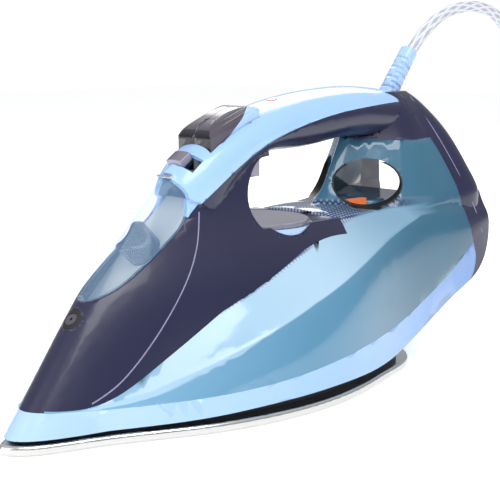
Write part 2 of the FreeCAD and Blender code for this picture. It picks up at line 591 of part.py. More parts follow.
def cord_exit_parts():
    ball = Part.makeSphere(7.0, BALL)
    relief = Part.makeCone(5.8, 5.2, 36.0, along_axis(6.0), AXIS)
    relief = relief.cut(rod(CORD_D / 2 + 0.06, along_axis(18.1), along_axis(60))).cut(ball)
    lean = math.degrees(math.atan2(AXIS.x, AXIS.z))
    for i in range(7):
        middle = along_axis(11.0 + 3.7 * i)
        ring = rod(9.0, middle, middle + AXIS * 1.7).cut(rod(4.5, middle, middle + AXIS * 1.7))
        rib = box(-12, 12, -1.8, 1.8, -3, 3) if i % 2 else box(-1.8, 1.8, -12, 12, -3, 3)
        rib.rotate(V(0, 0, 0), V(0, 1, 0), lean)
        rib.translate(middle)
        relief = relief.cut(ring.cut(rib))
    block = box(74, 92, -9, 9, 135, 145)
    for y in (-5.5, 0, 5.5):
        block = block.cut(Part.makeCylinder(1.9, 4, V(79, y, 142))).cut(Part.makeCylinder(1.9, 4, V(87, y, 142)))
    clamp = box(95, 98, -8, 8, 134, 146).cut(rod(3.0, V(94, 0, 140), V(99, 0, 140)))
    lead = rod(3.0, V(92.4, 0, 140), V(104.0, 0, 140))
    return {"swivel_ball": ball, "strain_relief": relief, "terminal_block": block, "cord_clamp": clamp,
            "inner_cord": lead}


def wiring():
    loom, _, _ = tube_along([V(73.8, -5, 137.5), V(30, -11.5, 132.8), V(-1, -11.9, 131.4), V(-19, -10, 127.5),
                             V(-28.5, -1.2, 117.5), V(-34, 0, 109), V(-37, 0, 98), V(-36.5, 0, 60), V(-22, -4, 34),
                             V(-9, -4.6, 16.6)], 1.4)
    loom = loom.cut(box(-12, 12, -8, 8, 10, 16.4))
    spray, _, _ = tube_along([V(PUMP_X, -PUMP_Y, 84), V(-37, -7.9, 72), V(-70, -7, 50), V(-100, 0, 36.5),
                              NOZZLE - OUT * 9], 1.6)
    boost, _, _ = tube_along([V(PUMP_X, PUMP_Y, 84), V(-35.6, 8, 60), V(-27, 8.4, 42), V(-20.4, 8, 28),
                              V(-20, 8, 14.4)], 1.6)
    boost = boost.cut(box(-30, -10, 0, 16, 10, 14.4))
    board = box(30, 62, -9.5, 9.5, 139.0, 140.4)
    chips = [box(34, 40, -5, 1, 140.4, 142.4), box(46, 54, -6, 4, 140.4, 145.0)]
    return {"wire_loom": loom, "spray_hose": spray, "boost_hose": boost,
            "circuit_board": board.fuse(chips)}


def lamps():
    deck = stadium(-5, 5, 2.5, 0, 3.4)
    deck.rotate(V(0, 0, 0), V(0, 0, 1), -6)
    deck.translate(V(80.0, -7.0, 88.4))
    top = Part.makeCylinder(2.4, 9.0, V(12, -1.5, 143.6)).common(handle_form(-0.4))
    return {"lamp_deck": deck, "lamp_handle": top}


# ---------------------------------------------------------------- cord and plug
CORD_POINTS = [along_axis(18.5), along_axis(63.0), V(200.0, -3.0, 207.0), V(243.0, -5.0, 196.0),
               V(268.0, -8.0, 150.0), V(276.0, -12.0, 98.0), V(280.0, -20.0, 52.0),
               V(282.0, -45.0, 26.0), V(284.0, -72.0, 17.0)]
COIL_CENTRE = V(322.0, -72.0, 0.0)
COIL_MEAN = 38.0
COIL_HALF = 10.5
PLUG_X = 371.0
PLUG_Z = 18.6


def cord_parts():
    tube, radii, length = tube_along(CORD_POINTS, CORD_D / 2)
    print("cord radii", [round(r, 1) for r in radii], "length", round(length, 1),
          "volume ratio", round(tube.Volume / (math.pi * CORD_D ** 2 / 4 * length), 4))
    ring = Part.makeCylinder(COIL_MEAN + COIL_HALF, 2 * COIL_HALF, COIL_CENTRE)
    ring = ring.cut(Part.makeCylinder(COIL_MEAN - COIL_HALF, 2 * COIL_HALF, COIL_CENTRE))
    ring = ring.makeFillet(3.4, [e for e in ring.Edges if e.Curve.TypeId == "Part::GeomCircle"])
    y = COIL_CENTRE.y + 12.0

    def at(distance):
        return V(PLUG_X, y + distance, PLUG_Z)

    tail = Part.makeCone(4.3, 7.5, 30.0, at(0), V(0, 1, 0))
    body = rod(18.0, at(30), at(48))
    body = body.makeFillet(3.0, [e for e in body.Edges if e.Curve.TypeId == "Part::GeomCircle"])
    plug = tail.fuse(rod(7.5, at(29), at(34))).fuse(body)
    pins = []
    for side in (-1, 1):
        shift = V(side * 9.5, 0, 0)
        pin = rod(2.4, at(44) + shift, at(66) + shift).fuse(Part.makeSphere(2.4, at(66) + shift))
        pins.append(pin)
        plug = plug.cut(pin)
    return {"cord_tube": tube, "cord_coil": ring, "plug_body": plug, "plug_pins": Part.makeCompound(pins)}



if __name__ == "__main__":
    os.makedirs("parts", exist_ok=True)
    made = {}
    for group in (housings, sole_and_heating, dial_parts, pumps_and_buttons, trigger_parts, slider_parts,
                  nose_parts, cord_exit_parts, wiring, lamps, cord_parts):
        made.update(group())
    for name, shape in made.items():
        shape = solids_over(shape, 19.0)
        shape.exportStep("parts/" + name + ".step")
        print(name, shape.isValid(), [round(x.Volume) for x in shape.Solids])
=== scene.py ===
import math

import bpy
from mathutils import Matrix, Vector


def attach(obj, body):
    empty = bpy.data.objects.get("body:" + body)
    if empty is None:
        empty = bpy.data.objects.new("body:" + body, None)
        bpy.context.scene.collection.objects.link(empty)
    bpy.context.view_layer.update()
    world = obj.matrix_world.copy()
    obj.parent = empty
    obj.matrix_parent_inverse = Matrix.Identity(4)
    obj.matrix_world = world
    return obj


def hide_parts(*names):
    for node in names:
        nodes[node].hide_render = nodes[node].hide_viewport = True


# Steam iron: metres, nose towards -X, heel towards +X, soleplate on the floor.
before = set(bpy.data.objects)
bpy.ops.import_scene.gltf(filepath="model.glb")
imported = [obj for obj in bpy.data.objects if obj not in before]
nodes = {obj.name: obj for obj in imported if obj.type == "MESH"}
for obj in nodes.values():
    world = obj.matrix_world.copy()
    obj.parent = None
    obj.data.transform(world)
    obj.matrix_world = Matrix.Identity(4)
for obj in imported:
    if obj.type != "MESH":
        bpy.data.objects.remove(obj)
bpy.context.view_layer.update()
print("frame loaded:", len(nodes), "pieces")


def deselectAll():
    bpy.ops.object.select_all(action="DESELECT")


def pick(piece):
    deselectAll()
    piece.select_set(True)
    bpy.context.view_layer.objects.active = piece


# ---- camera
cameraSettings = {"azimuth": -47.3, "distance": 0.6052, "height": 0.1821, "down": 10.3, "turn": 0.2,
                  "lens": 82.45}


def addCamera():
    s = cameraSettings
    a, p = math.radians(s["azimuth"]), math.radians(s["down"])
    b = math.radians(s["azimuth"] + s["turn"])
    data = bpy.data.cameras.new("camera")
    data.lens, data.sensor_width = s["lens"], 36.0
    data.clip_start = 0.02
    camera = bpy.data.objects.new("camera", data)
    camera.location = (math.sin(a) * s["distance"], -math.cos(a) * s["distance"], s["height"])
    look = Vector((-math.sin(b) * math.cos(p), math.cos(b) * math.cos(p), -math.sin(p)))
    camera.rotation_euler = look.to_track_quat("-Z", "Y").to_euler()
    bpy.context.collection.objects.link(camera)
    bpy.context.scene.camera = camera


addCamera()

# ---- cord: leaves the heel upwards, bends over, falls behind the iron and is coiled for storage
cordSettings = {"diameter": 0.007, "length": 2.1, "pointsPerTurn": 24, "bendShare": 0.30}
cordPoints = [(0.12364, 0, 0.15741), (0.15213, 0, 0.19160), (0.200, -0.003, 0.207), (0.243, -0.005, 0.196),
              (0.268, -0.008, 0.150), (0.276, -0.012, 0.098), (0.280, -0.020, 0.052),
              (0.282, -0.045, 0.026)]
coilCentre = (0.322, -0.072)
coilSlots = [(0.038, 0.0175), (0.031, 0.0175), (0.031, 0.0105), (0.031, 0.0037), (0.038, 0.0037),
             (0.038, 0.0105), (0.045, 0.0105), (0.045, 0.0037), (0.050, 0.0037)]
cordEnd = [(0.3708, -0.092, 0.008), (0.3712, -0.078, 0.0145), (0.371, -0.068, 0.0182), (0.371, -0.0595, 0.0186)]


def coilPoints():
    points = []
    count = cordSettings["pointsPerTurn"]
    turns = len(coilSlots) - 1
    for i in range(1, int(turns * count - count * 0.52)):
        turn, part = divmod(i / count, 1.0)
        a, b = coilSlots[int(turn)], coilSlots[min(int(turn) + 1, turns)]
        f = max(0.0, (part - 1 + cordSettings["bendShare"]) / cordSettings["bendShare"])
        f = f * f * (3 - 2 * f)
        radius, z = a[0] + f * (b[0] - a[0]), a[1] + f * (b[1] - a[1])
        angle = math.pi + 2 * math.pi * i / count
        points.append((coilCentre[0] + radius * math.cos(angle), coilCentre[1] + radius * math.sin(angle), z))
    return points


def addCord():
    data = bpy.data.curves.new("cordLine", "CURVE")
    data.dimensions = "3D"
    data.bevel_depth = 1.0
    data.bevel_resolution = 5
    data.use_fill_caps = True
    line = data.splines.new("NURBS")
    points = cordPoints + coilPoints() + cordEnd
    line.points.add(len(points) - 1)
    for point, place in zip(line.points, points):
        point.co = (*place, 1.0)
        point.radius = cordSettings["diameter"] / 2
    line.order_u = 3
    line.use_endpoint_u = True
    line.resolution_u = 8
    cord = bpy.data.objects.new("mainsCord", data)
    bpy.context.collection.objects.link(cord)
    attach(cord, "body")
    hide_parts("cord_tube", "cord_coil")
    return cord


mainsCord = addCord()
print("cord laid out")

# ---- materials
def groupInput(group, name, kind, value):
    socket = group.interface.new_socket(name=name, in_out="INPUT", socket_type=kind)
    socket.default_value = value


def mouldedSkin():
    group = bpy.data.node_groups.new("mouldedSkin", "ShaderNodeTree")
    groupInput(group, "Colour", "NodeSocketColor", (0.5, 0.5, 0.5, 1))
    groupInput(group, "Tint", "NodeSocketFloat", 0.06)
    groupInput(group, "Gloss", "NodeSocketFloat", 0.2)
    groupInput(group, "Gloss change", "NodeSocketFloat", 0.06)
    groupInput(group, "Grain size", "NodeSocketFloat", 900.0)
    groupInput(group, "Grain depth", "NodeSocketFloat", 0.02)
    group.interface.new_socket(name="Colour", in_out="OUTPUT", socket_type="NodeSocketColor")
    group.interface.new_socket(name="Roughness", in_out="OUTPUT", socket_type="NodeSocketFloat")
    group.interface.new_socket(name="Normal", in_out="OUTPUT", socket_type="NodeSocketVector")
    tree = group.nodes
    link = group.links.new
    inputs, outputs = tree.new("NodeGroupInput"), tree.new("NodeGroupOutput")
    place = tree.new("ShaderNodeTexCoord")
    broad = tree.new("ShaderNodeTexNoise")
    broad.inputs["Scale"].default_value = 14.0
    broad.inputs["Detail"].default_value = 3.0
    fine = tree.new("ShaderNodeTexNoise")
    fine.inputs["Detail"].default_value = 2.0
    link(place.outputs["Object"], broad.inputs["Vector"])
    link(place.outputs["Object"], fine.inputs["Vector"])
    link(inputs.outputs["Grain size"], fine.inputs["Scale"])
    centred = tree.new("ShaderNodeMath")
    centred.operation = "SUBTRACT"
    centred.inputs[1].default_value = 0.5
    link(broad.outputs["Fac"], centred.inputs[0])
    shade = tree.new("ShaderNodeMath")
    shade.operation = "MULTIPLY_ADD"
    shade.inputs[2].default_value = 1.0
    link(centred.outputs[0], shade.inputs[0])
    link(inputs.outputs["Tint"], shade.inputs[1])
    colour = tree.new("ShaderNodeVectorMath")
    colour.operation = "SCALE"
    link(inputs.outputs["Colour"], colour.inputs[0])
    link(shade.outputs[0], colour.inputs["Scale"])
    link(colour.outputs[0], outputs.inputs["Colour"])
    gloss = tree.new("ShaderNodeMath")
    gloss.operation = "MULTIPLY_ADD"
    link(centred.outputs[0], gloss.inputs[0])
    link(inputs.outputs["Gloss change"], gloss.inputs[1])
    link(inputs.outputs["Gloss"], gloss.inputs[2])
    link(gloss.outputs[0], outputs.inputs["Roughness"])
    bump = tree.new("ShaderNodeBump")
    bump.inputs["Distance"].default_value = 0.0004
    link(fine.outputs["Fac"], bump.inputs["Height"])
    link(inputs.outputs["Grain depth"], bump.inputs["Strength"])
    link(bump.outputs["Normal"], outputs.inputs["Normal"])
    return group


skinGroup = mouldedSkin()


def finish(name, colour, gloss=0.25, tint=0.08, glossChange=0.08, grainSize=900.0, grainDepth=0.03,
           metallic=0.0, coat=0.0, coatGloss=0.05, alpha=1.0, emission=0.0):
    material = bpy.data.materials.new(name)
    material.use_nodes = True
    tree = material.node_tree
    shader = tree.nodes["Principled BSDF"]
    skin = tree.nodes.new("ShaderNodeGroup")
    skin.node_tree = skinGroup
    skin.name = "skin"
    skin.inputs["Colour"].default_value = (*colour, 1)
    skin.inputs["Tint"].default_value = tint
    skin.inputs["Gloss"].default_value = gloss
    skin.inputs["Gloss change"].default_value = glossChange
    skin.inputs["Grain size"].default_value = grainSize
    skin.inputs["Grain depth"].default_value = grainDepth
    tree.links.new(skin.outputs["Colour"], shader.inputs["Base Color"])
    tree.links.new(skin.outputs["Roughness"], shader.inputs["Roughness"])
    tree.links.new(skin.outputs["Normal"], shader.inputs["Normal"])
    shader.inputs["Metallic"].default_value = metallic
    shader.inputs["Coat Weight"].default_value = coat
    shader.inputs["Coat Roughness"].default_value = coatGloss
    shader.inputs["Alpha"].default_value = alpha
    if emission:
        shader.inputs["Emission Color"].default_value = (*colour, 1)
        shader.inputs["Emission Strength"].default_value = emission
    return material


def feedColour(material, socket):
    material.node_tree.links.new(socket, material.node_tree.nodes["skin"].inputs["Colour"])


def ramp(material, socket, stops):
    node = material.node_tree.nodes.new("ShaderNodeValToRGB")
    node.color_ramp.interpolation = "EASE"
    while len(node.color_ramp.elements) < len(stops):
        node.color_ramp.elements.new(0.5)
    for element, (place, colour) in zip(node.color_ramp.elements, stops):
        element.position = place
        element.color = (*colour, 1)
    material.node_tree.links.new(socket, node.inputs["Fac"])
    return node.outputs["Color"]


def slantedFade(material, direction, start, end):
    tree = material.node_tree
    place = tree.nodes.new("ShaderNodeTexCoord")
    dot = tree.nodes.new("ShaderNodeVectorMath")
    dot.operation = "DOT_PRODUCT"
    dot.inputs[1].default_value = direction
    tree.links.new(place.outputs["Object"], dot.inputs[0])
    fade = tree.nodes.new("ShaderNodeMapRange")
    fade.inputs["From Min"].default_value = start
    fade.inputs["From Max"].default_value = end
    tree.links.new(dot.outputs["Value"], fade.inputs["Value"])
    return fade.outputs["Result"]


lightBlue = finish("lightBlueShell", (0.40, 0.60, 0.90), gloss=0.26, coat=0.35, coatGloss=0.12)
navy = finish("navyShell", (0.012, 0.013, 0.050), gloss=0.30, coat=0.25, coatGloss=0.08, tint=0.2)
skirtBlue = finish("skirtShell", (0.36, 0.56, 0.88), gloss=0.24, coat=0.4, coatGloss=0.10)
feedColour(skirtBlue, ramp(skirtBlue, slantedFade(skirtBlue, (1, 0, 0), -0.165, 0.165),
                           [(0.0, (0.42, 0.62, 0.92)), (0.55, (0.33, 0.54, 0.88)), (1.0, (0.16, 0.30, 0.62))]))
tankBlue = finish("tintedTank", (0.07, 0.20, 0.32), gloss=0.12, coat=0.35, coatGloss=0.04, tint=0.12)
clearBlue = finish("clearDoor", (0.30, 0.52, 0.80), gloss=0.06, coat=0.5, coatGloss=0.03, alpha=0.18)
darkGrey = finish("darkGreyCap", (0.075, 0.065, 0.09), gloss=0.26, coat=0.3)
dialGrey = finish("dialGrey", (0.20, 0.19, 0.25), gloss=0.22, coat=0.5, coatGloss=0.08)
blackRubber = finish("blackRubber", (0.012, 0.012, 0.014), gloss=0.5, grainDepth=0.08)
lilacGrey = finish("lilacGrey", (0.40, 0.37, 0.47), gloss=0.32, coat=0.2)
solePolish = finish("polishedSole", (0.66, 0.66, 0.64), gloss=0.20, metallic=1.0, tint=0.05, grainSize=500)
castAlloy = finish("castAlloy", (0.45, 0.45, 0.46), gloss=0.45, metallic=0.9, grainDepth=0.15)
darkSteel = finish("heatedTube", (0.22, 0.20, 0.19), gloss=0.4, metallic=1.0)
brightSteel = finish("brightSteel", (0.62, 0.62, 0.62), gloss=0.2, metallic=1.0)
brass = finish("brassPart", (0.72, 0.52, 0.22), gloss=0.25, metallic=1.0)
naturalPlastic = finish("naturalPlastic", (0.62, 0.62, 0.58), gloss=0.45)
ceramic = finish("firedCeramic", (0.78, 0.76, 0.72), gloss=0.5)
orangeLamp = finish("orangeLamp", (0.90, 0.20, 0.05), gloss=0.15, coat=0.5, emission=0.35)
boardGreen = finish("boardGreen", (0.03, 0.20, 0.08), gloss=0.35, grainSize=1500)
siliconeHose = finish("siliconeHose", (0.62, 0.60, 0.56), gloss=0.4)
plugGrey = finish("plugGrey", (0.55, 0.57, 0.62), gloss=0.4)


def braidedCord():
    material = finish("braidedCord", (0.62, 0.64, 0.70), gloss=0.62, tint=0.1, grainDepth=0.1)
    tree = material.node_tree
    link = tree.links.new
    place = tree.nodes.new("ShaderNodeTexCoord")
    waves = []
    for slope in (1, -1):
        mapping = tree.nodes.new("ShaderNodeMapping")
        mapping.inputs["Scale"].default_value = (520.0, slope * 6.0, 1.0)
        link(place.outputs["UV"], mapping.inputs["Vector"])
        split = tree.nodes.new("ShaderNodeSeparateXYZ")
        link(mapping.outputs["Vector"], split.inputs[0])
        total = tree.nodes.new("ShaderNodeMath")
        link(split.outputs["X"], total.inputs[0])
        link(split.outputs["Y"], total.inputs[1])
        wave = tree.nodes.new("ShaderNodeMath")
        wave.operation = "PINGPONG"
        wave.inputs[1].default_value = 0.5
        link(total.outputs[0], wave.inputs[0])
        waves.append(wave.outputs[0])
    weave = tree.nodes.new("ShaderNodeMath")
    weave.operation = "MAXIMUM"
    link(waves[0], weave.inputs[0])
    link(waves[1], weave.inputs[1])
    feedColour(material, ramp(material, weave.outputs[0],
                              [(0.15, (0.42, 0.44, 0.50)), (0.5, (0.74, 0.76, 0.80))]))
    bump = tree.nodes.new("ShaderNodeBump")
    bump.inputs["Distance"].default_value = 0.0004
    bump.inputs["Strength"].default_value = 0.5
    link(weave.outputs[0], bump.inputs["Height"])
    link(bump.outputs["Normal"], tree.nodes["Principled BSDF"].inputs["Normal"])
    return material


mainsCord.data.materials.append(braidedCord())


def dotScreen():
    group = bpy.data.node_groups.new("dotScreen", "ShaderNodeTree")
    groupInput(group, "Pitch", "NodeSocketFloat", 400.0)
    groupInput(group, "Dot size", "NodeSocketFloat", 0.3)
    group.interface.new_socket(name="Mask", in_out="OUTPUT", socket_type="NodeSocketFloat")
    tree, link = group.nodes, group.links.new
    inputs, outputs = tree.new("NodeGroupInput"), tree.new("NodeGroupOutput")
    place = tree.new("ShaderNodeTexCoord")
    cells = tree.new("ShaderNodeTexVoronoi")
    cells.voronoi_dimensions = "2D"
    cells.inputs["Randomness"].default_value = 0.0
    link(place.outputs["Object"], cells.inputs["Vector"])
    link(inputs.outputs["Pitch"], cells.inputs["Scale"])
    edge = tree.new("ShaderNodeMapRange")
    link(cells.outputs["Distance"], edge.inputs["Value"])
    link(inputs.outputs["Dot size"], edge.inputs["From Max"])
    softer = tree.new("ShaderNodeMath")
    softer.operation = "MULTIPLY"
    softer.inputs[1].default_value = 0.8
    link(inputs.outputs["Dot size"], softer.inputs[0])
    link(softer.outputs[0], edge.inputs["From Min"])
    edge.inputs["To Min"].default_value = 1.0
    edge.inputs["To Max"].default_value = 0.0
    link(edge.outputs["Result"], outputs.inputs["Mask"])
    return group


dotGroup = dotScreen()


# along the tank: x, height of its sharp edge, height where the deck begins
tankLines = [(-0.148, 0.0186, 0.0204), (-0.128, 0.0184, 0.029), (-0.104, 0.0226, 0.038),
             (-0.078, 0.031, 0.0455), (-0.050, 0.0408, 0.056), (-0.015, 0.0532, 0.0695),
             (0.025, 0.065, 0.0838), (0.060, 0.075, 0.0878), (0.095, 0.084, 0.0895), (0.130, 0.0844, 0.091)]
tankReach = (-0.15, 0.13)
# the lines count only ahead of the heel and below the pillar's foot; each pair is a soft limit
tankLimits = {"behind": (0.112, 0.088), "above": (0.0945, 0.0925)}


def mathNode(tree, kind, first, second):
    node = tree.nodes.new("ShaderNodeMath")
    node.operation = kind
    for socket, value in zip(node.inputs, (first, second)):
        if isinstance(value, (int, float)):
            socket.default_value = value
        else:
            tree.links.new(value, socket)
    return node.outputs[0]


def aboveLine(material, column, softness):
    tree = material.node_tree
    place = tree.nodes.new("ShaderNodeTexCoord")
    split = tree.nodes.new("ShaderNodeSeparateXYZ")
    tree.links.new(place.outputs["Object"], split.inputs[0])
    along = tree.nodes.new("ShaderNodeMapRange")
    along.inputs["From Min"].default_value, along.inputs["From Max"].default_value = tankReach
    tree.links.new(split.outputs["X"], along.inputs["Value"])
    line = tree.nodes.new("ShaderNodeFloatCurve")
    points = line.mapping.curves[0].points
    while len(points) < len(tankLines):
        points.new(0.5, 0.5)
    for point, row in zip(points, tankLines):
        point.location = ((row[0] - tankReach[0]) / (tankReach[1] - tankReach[0]), row[column] * 10)
        point.handle_type = "VECTOR"
    line.mapping.update()
    tree.links.new(along.outputs["Result"], line.inputs["Value"])
    height = mathNode(tree, "MULTIPLY", line.outputs["Value"], 0.1)
    over = mathNode(tree, "SUBTRACT", split.outputs["Z"], height)
    mask = tree.nodes.new("ShaderNodeMapRange")
    mask.inputs["From Min"].default_value = -softness
    mask.inputs["From Max"].default_value = softness
    tree.links.new(over, mask.inputs["Value"])
    front = tree.nodes.new("ShaderNodeMapRange")
    front.inputs["From Min"].default_value, front.inputs["From Max"].default_value = tankLimits["behind"]
    tree.links.new(split.outputs["X"], front.inputs["Value"])
    low = tree.nodes.new("ShaderNodeMapRange")
    low.inputs["From Min"].default_value, low.inputs["From Max"].default_value = tankLimits["above"]
    tree.links.new(split.outputs["Z"], low.inputs["Value"])
    limited = mathNode(tree, "MULTIPLY", mask.outputs["Result"], front.outputs["Result"])
    return mathNode(tree, "MULTIPLY", limited, low.outputs["Result"])


def mixColour(material, factor, under, over):
    tree = material.node_tree
    mix = tree.nodes.new("ShaderNodeMix")
    mix.data_type = "RGBA"
    tree.links.new(factor, mix.inputs["Factor"])
    for socket, value in ((mix.inputs[6], under), (mix.inputs[7], over)):
        if isinstance(value, tuple):
            socket.default_value = (*value, 1)
        else:
            tree.links.new(value, socket)
    return mix.outputs[2]


def dotMask(material, pitch, size, strength):
    tree = material.node_tree
    dots = tree.nodes.new("ShaderNodeGroup")
    dots.node_tree = dotGroup
    dots.inputs["Pitch"].default_value = pitch
    dots.inputs["Dot size"].default_value = size
    return mathNode(tree, "MULTIPLY", dots.outputs["Mask"], strength)


def paintTank(material):
    side = ramp(material, slantedFade(material, (0.80, 0, -0.15), -0.12, 0.14),
                [(0.0, (0.20, 0.42, 0.62)), (0.40, (0.10, 0.27, 0.42)), (0.75, (0.035, 0.13, 0.21)),
                 (1.0, (0.018, 0.06, 0.12))])
    top = ramp(material, slantedFade(material, (0.85, 0.2, -0.1), -0.12, 0.12),
               [(0.0, (0.24, 0.44, 0.64)), (0.42, (0.42, 0.62, 0.78)), (0.72, (0.20, 0.38, 0.54)),
                (1.0, (0.04, 0.13, 0.22))])
    fade = slantedFade(material, (1, 0.25, 0), 0.085, 0.015)
    deck = ramp(material, fade, [(0.0, (0.02, 0.07, 0.14)), (1.0, (0.05, 0.10, 0.22))])
    deck = mixColour(material, dotMask(material, 430.0, 0.36, fade), deck, (0.55, 0.60, 0.80))
    colour = mixColour(material, aboveLine(material, 1, 0.0004), side, top)
    feedColour(material, mixColour(material, aboveLine(material, 2, 0.0008), colour, deck))


paintTank(tankBlue)
handleBlue = finish("handleCoverShell", (0.40, 0.60, 0.90), gloss=0.24, coat=0.4, coatGloss=0.10)


def paintHandle(material):
    tree = material.node_tree
    fade = slantedFade(material, (1, 0, 0), 0.050, -0.010)
    across = slantedFade(material, (0, 1, 0), -0.0125, -0.0095)
    front = slantedFade(material, (1, 0, 0), -0.012, -0.009)
    band = mathNode(tree, "MULTIPLY", mathNode(tree, "MULTIPLY", fade, across), front)
    base = mixColour(material, mathNode(tree, "MULTIPLY", band, 0.45), (0.36, 0.58, 0.92), (0.80, 0.88, 0.97))
    feedColour(material, mixColour(material, dotMask(material, 470.0, 0.40, band), base, (0.20, 0.42, 0.80)))


paintHandle(handleBlue)
blackGloss = finish("blackGloss", (0.010, 0.010, 0.016), gloss=0.10, coat=0.6)

nodeFinish = {
    "soleplate": solePolish, "sole_seal": blackRubber,
    "heating_base": castAlloy, "steam_chamber_lid": castAlloy,
    "lid_screws": brightSteel, "heating_element": darkSteel, "thermostat": ceramic, "thermal_fuse": ceramic,
    "dial_disc": dialGrey, "dial_seal": blackRubber, "dial_ring": lightBlue, "dial_spindle": naturalPlastic,
    "spray_button": darkGrey, "boost_button": darkGrey, "spray_pump": naturalPlastic,
    "boost_pump": naturalPlastic, "spray_piston": naturalPlastic, "boost_piston": naturalPlastic,
    "spray_spring": brightSteel, "boost_spring": brightSteel, "steam_trigger": lilacGrey,
    "trigger_spring": brightSteel, "trigger_seat": naturalPlastic, "steam_slider": lilacGrey,
    "valve_needle": brass, "drip_valve": siliconeHose, "fill_well": naturalPlastic, "fill_inlet": navy,
    "spray_nozzle": darkGrey, "nozzle_bezel": blackRubber, "door_hinge_pin": brightSteel,
    "swivel_ball": naturalPlastic, "strain_relief": lightBlue, "terminal_block": naturalPlastic,
    "cord_clamp": naturalPlastic, "inner_cord": plugGrey, "wire_loom": siliconeHose,
    "spray_hose": siliconeHose, "boost_hose": siliconeHose, "circuit_board": boardGreen,
    "lamp_deck": orangeLamp, "lamp_handle": orangeLamp, "plug_body": plugGrey, "plug_pins": brass,
    "front_housing": navy, "handle_cover": handleBlue, "filling_door": clearBlue, "skirt": skirtBlue,
    "tank_shell": tankBlue, "tank_floor": tankBlue, "rear_housing": navy, "heel_cover": navy,
    "pillar_hole_trims": blackRubber}
for name, material in nodeFinish.items():
    slots = nodes[name].data.materials
    if not slots:
        slots.append(material)
    for i in range(len(slots)):
        slots[i] = material
print("finishes set")

# ---- glossy housings: a merged, smoothly shaded skin stands for each CAD shell
smoothPieces = {
    "front_housing": ("frontHousingSkin", "body", 28), "handle_cover": ("handleCoverSkin", "body", 28),
    "filling_door": ("fillingDoorSkin", "door", 28), "skirt": ("skirtSkin", "body", 28),
    "tank_shell": ("tankSkin", "body", 24), "rear_housing": ("rearHousingSkin", "body", 28),
    "heel_cover": ("heelCoverSkin", "body", 24), "soleplate": ("soleplateSkin", "body", 28),
    "dial_disc": ("dialDiscSkin", "dial", 30), "dial_ring": ("dialRingSkin", "dial", 30),
    "spray_button": ("sprayButtonSkin", "spray", 30), "boost_button": ("boostButtonSkin", "boost", 30),
    "steam_trigger": ("steamTriggerSkin", "trigger", 30), "steam_slider": ("steamSliderSkin", "slider", 30),
    "strain_relief": ("strainReliefSkin", "cord_swivel", 30), "plug_body": ("plugBodySkin", "body", 30),
    "pillar_hole_trims": ("pillarHoleTrimSkin", "body", 30)}


def smoothSkin(node, name, body, angle):
    copy = nodes[node].copy()
    copy.data = nodes[node].data.copy()
    copy.name = copy.data.name = name
    copy.parent = None
    bpy.context.collection.objects.link(copy)
    pick(copy)
    bpy.ops.object.mode_set(mode="EDIT")
    bpy.ops.mesh.select_all(action="SELECT")
    bpy.ops.mesh.remove_doubles(threshold=0.000004)
    bpy.ops.object.mode_set(mode="OBJECT")
    bpy.ops.object.shade_smooth_by_angle(angle=math.radians(angle))
    even = copy.modifiers.new("evenNormals", "WEIGHTED_NORMAL")
    even.keep_sharp = True
    even.weight = 80
    bpy.ops.object.modifier_apply(modifier=even.name)
    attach(copy, body)
    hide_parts(node)
    return copy


skins = {node: smoothSkin(node, *facts) for node, facts in smoothPieces.items()}

# thumb caps: the near-black front face is painted shade standing for the shaded hollow at the cap's front; the
# pale light-blue wedge low on the outer side is the cap's own colour
capSplit = {"point": (-0.0405, 0, 0.1262), "normal": (-0.66, 0, 0.75), "frontFace": -0.0425}


def paintCap(skin):
    pick(skin)
    bpy.ops.object.mode_set(mode="EDIT")
    bpy.ops.mesh.select_all(action="SELECT")
    bpy.ops.mesh.bisect(plane_co=capSplit["point"], plane_no=capSplit["normal"])
    bpy.ops.object.mode_set(mode="OBJECT")
    for material in (blackGloss, lightBlue):
        skin.data.materials.append(material)
    point, normal = Vector(capSplit["point"]), Vector(capSplit["normal"])
    for face in skin.data.polygons:
        # faces towards the nose get near-black painted shade; the lower side faces get the light-blue wedge
        if face.normal.x < -0.75 and face.center.x < capSplit["frontFace"]:
            face.material_index = 1
        elif abs(face.normal.y) > 0.5 and (face.center - point).dot(normal) < 0:
            face.material_index = 2


for node in ("spray_button", "boost_button"):
    paintCap(skins[node])
print("housings smoothed")

# ---- moulded lines that lie along the housings, as fine beads set into the surface; the lines are real, and the lighter lilac of the front crescent and heel beads is a painted highlight
seams = {
    "frontCrescent": {"bead": 0.00042, "finish": "lilacPaintedHighlight", "slot": "navy", "points": [
        (-0.0547, -0.0138, 0.0993), (-0.0590, -0.0180, 0.0889), (-0.0658, -0.0221, 0.0790),
        (-0.0738, -0.0247, 0.0688), (-0.0840, -0.0256, 0.0570), (-0.0954, -0.0252, 0.0445),
        (-0.1080, -0.0237, 0.0324), (-0.1193, -0.0219, 0.0241), (-0.1290, -0.0193, 0.0201)]},
    "heelBand": {"bead": 0.00045, "finish": "lilacPaintedHighlight", "slot": "navy", "points": [
        (0.1170, -0.0170, 0.1493), (0.1242, -0.0252, 0.1358), (0.1317, -0.0335, 0.1181),
        (0.1393, -0.0404, 0.1001), (0.1511, -0.0435, 0.0811), (0.1559, -0.0453, 0.0672)]},
    "skirtCrease": {"bead": 0.0004, "finish": "skirtShell", "slot": "light_blue", "points": [
        (-0.1033, -0.0346, 0.0174), (-0.1007, -0.0365, 0.0143), (-0.0976, -0.0386, 0.0111)]}}
# lighter lilac bead colour: a painted highlight along the front crescent and heel edges
lilacPaintedHighlight = finish("lilacPaintedHighlight", (0.20, 0.19, 0.34), gloss=0.2, coat=0.6)


